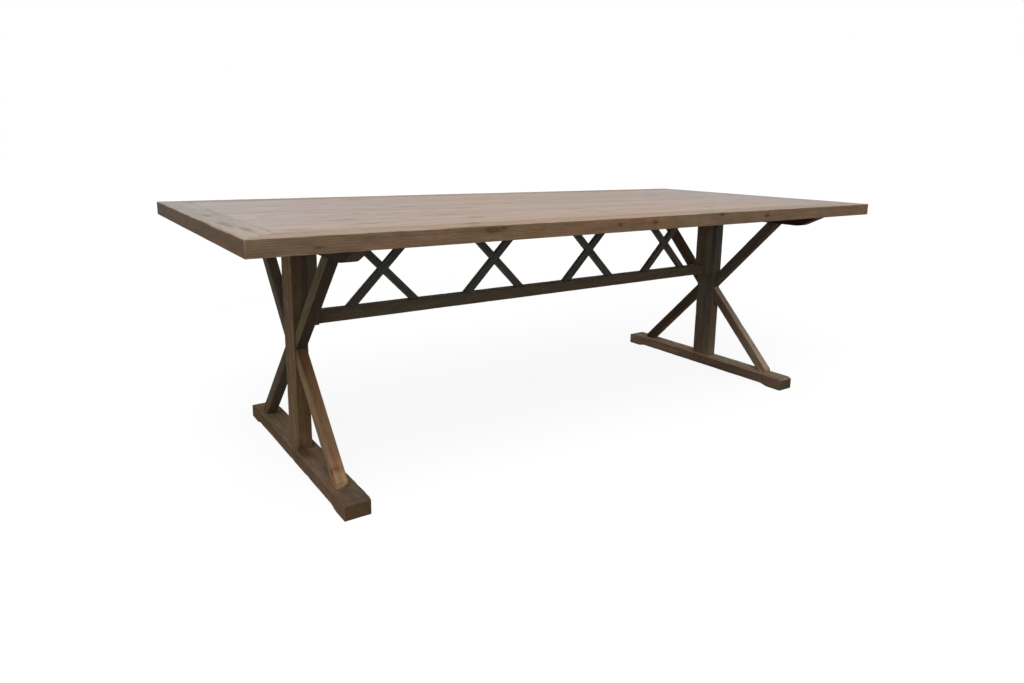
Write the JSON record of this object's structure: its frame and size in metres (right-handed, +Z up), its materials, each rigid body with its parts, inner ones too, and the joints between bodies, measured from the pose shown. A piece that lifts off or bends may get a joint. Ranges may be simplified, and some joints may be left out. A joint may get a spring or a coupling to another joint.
{
  "type": "sawbuck table",
  "caption": "Long rustic wooden dining table with a mitred border round its plank top, sawbuck trestles on floor rails and a lattice stretcher frame between them.",
  "frame": {"origin": "on the floor under the middle of the top", "axes": "+X along the table's length, to the right as seen from the front; +Y to the back; +Z up"},
  "size_m": [2.4, 1.1, 0.762],
  "materials": {
    "border_wood": "worn, dull, with rubbed arrises",
    "top_wood": "weathered and dull, sanded smooth",
    "trestle_wood": "dull brown stain, worn at the arrises",
    "brace_wood": "dull brown stain, bare where it is worn",
    "frame_wood": "dull dark stain",
    "dowel_wood": "plain turned hardwood",
    "bolt_steel": "zinc plated",
    "screw_steel": "yellow passivated"
  },
  "bodies": {
    "root": {"top_border_back": "border_wood", "top_border_front": "border_wood", "top_border_left": "border_wood", "top_border_right": "border_wood", "top_plank_1": "top_wood", "top_plank_2": "top_wood", "top_plank_3": "top_wood", "top_plank_4": "top_wood", "top_plank_5": "top_wood", "top_plank_6": "top_wood", "top_plank_7": "top_wood", "left_bearer": "trestle_wood", "left_foot": "trestle_wood", "left_post": "trestle_wood", "right_bearer": "trestle_wood", "right_foot": "trestle_wood", "right_post": "trestle_wood", "left_lower_back_brace": "brace_wood", "left_lower_front_brace": "brace_wood", "left_upper_back_brace": "brace_wood", "left_upper_front_brace": "brace_wood", "right_lower_back_brace": "brace_wood", "right_lower_front_brace": "brace_wood", "right_upper_back_brace": "brace_wood", "right_upper_front_brace": "brace_wood", "lattice_1_falling_bar": "frame_wood", "lattice_1_rising_bar": "frame_wood", "lattice_2_falling_bar": "frame_wood", "lattice_2_rising_bar": "frame_wood", "lattice_3_falling_bar": "frame_wood", "lattice_3_rising_bar": "frame_wood", "lattice_4_falling_bar": "frame_wood", "lattice_4_rising_bar": "frame_wood", "left_frame_upright": "frame_wood", "right_frame_upright": "frame_wood", "stretcher_beam": "frame_wood", "stretcher_rail": "frame_wood", "bearer_pegs": "dowel_wood", "bolt_plugs": "dowel_wood", "brace_dowels": "dowel_wood", "foot_pegs": "dowel_wood", "lattice_dowels": "dowel_wood", "mitre_splines": "dowel_wood", "frame_bolts": "bolt_steel", "frame_inserts": "bolt_steel", "frame_washers": "bolt_steel", "bearer_screws": "screw_steel", "lower_brace_screws": "screw_steel", "rail_screws": "screw_steel", "upper_brace_screws": "screw_steel"}
  },
  "joints": []
}
